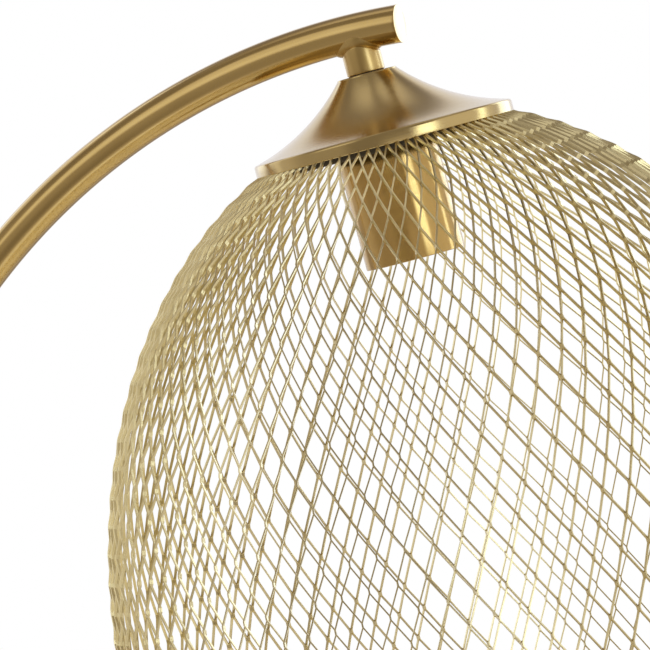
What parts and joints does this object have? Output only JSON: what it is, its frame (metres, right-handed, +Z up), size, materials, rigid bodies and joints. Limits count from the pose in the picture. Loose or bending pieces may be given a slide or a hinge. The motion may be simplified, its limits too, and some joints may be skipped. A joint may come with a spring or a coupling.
{
  "type": "floor lamp",
  "caption": "Arched floor lamp: round weighted base, slim tube pole bending over, and an open metal lattice shade hanging under a bell-shaped cap.",
  "frame": {"origin": "on the floor, on the pole's axis, at the centre of the base's underside", "axes": "+Z up, +X from the pole towards the shade"},
  "size_m": [0.6256, 0.3282, 1.5],
  "materials": {
    "brass_satin": "satin antique-brass plate, brushed along the tube",
    "brass_brushed": "antique-brass plate, brushed in rings, band polished",
    "mesh_gold": "satin champagne-gold coat",
    "dark_steel": "dark coat",
    "dark_washer": "fibre seam washer",
    "zinc_steel": "zinc plated",
    "iron_weight": "as cast, painted",
    "foam_black": "foam sheet",
    "plastic_black": "moulded",
    "moulded_black": "moulded heat-proof",
    "ceramic_white": "glazed ceramic look",
    "contact_metal": "bright",
    "lead_sheath": "flexible sheath"
  },
  "bodies": {
    "lamp": {"base_pad": "foam_black", "base_weight": "iron_weight", "base_cover": "brass_satin", "cord_bushing": "plastic_black", "base_washer": "zinc_steel", "base_nut": "zinc_steel", "base_rod": "zinc_steel", "pole_collar": "brass_satin", "pole_lower": "brass_satin", "pole_upper": "brass_satin", "arm_tube": "brass_satin", "arm_end_plug": "brass_satin", "tube_inserts": "zinc_steel", "joint_rods": "zinc_steel", "arm_neck": "brass_satin", "seam_washer": "dark_washer", "cap": "brass_brushed", "shade_carrier": "dark_steel", "cap_spacer": "zinc_steel", "head_rod": "zinc_steel", "head_nut": "zinc_steel", "socket_cup": "brass_satin", "holder_dome": "moulded_black", "holder_skirt": "moulded_black", "contact_block": "ceramic_white", "screw_shell": "contact_metal", "terminal_screws": "zinc_steel", "inner_lead": "lead_sheath", "shade_mesh": "mesh_gold", "shade_mouth_band": "mesh_gold"},
    "contact": {"centre_contact": "contact_metal"}
  },
  "joints": [
    {"name": "contact_press", "type": "slide", "parent": "lamp", "child": "contact", "axis": [0, 0, 1], "range_m": [0, 0.0015], "stiffness_N_per_m": 2000}
  ]
}
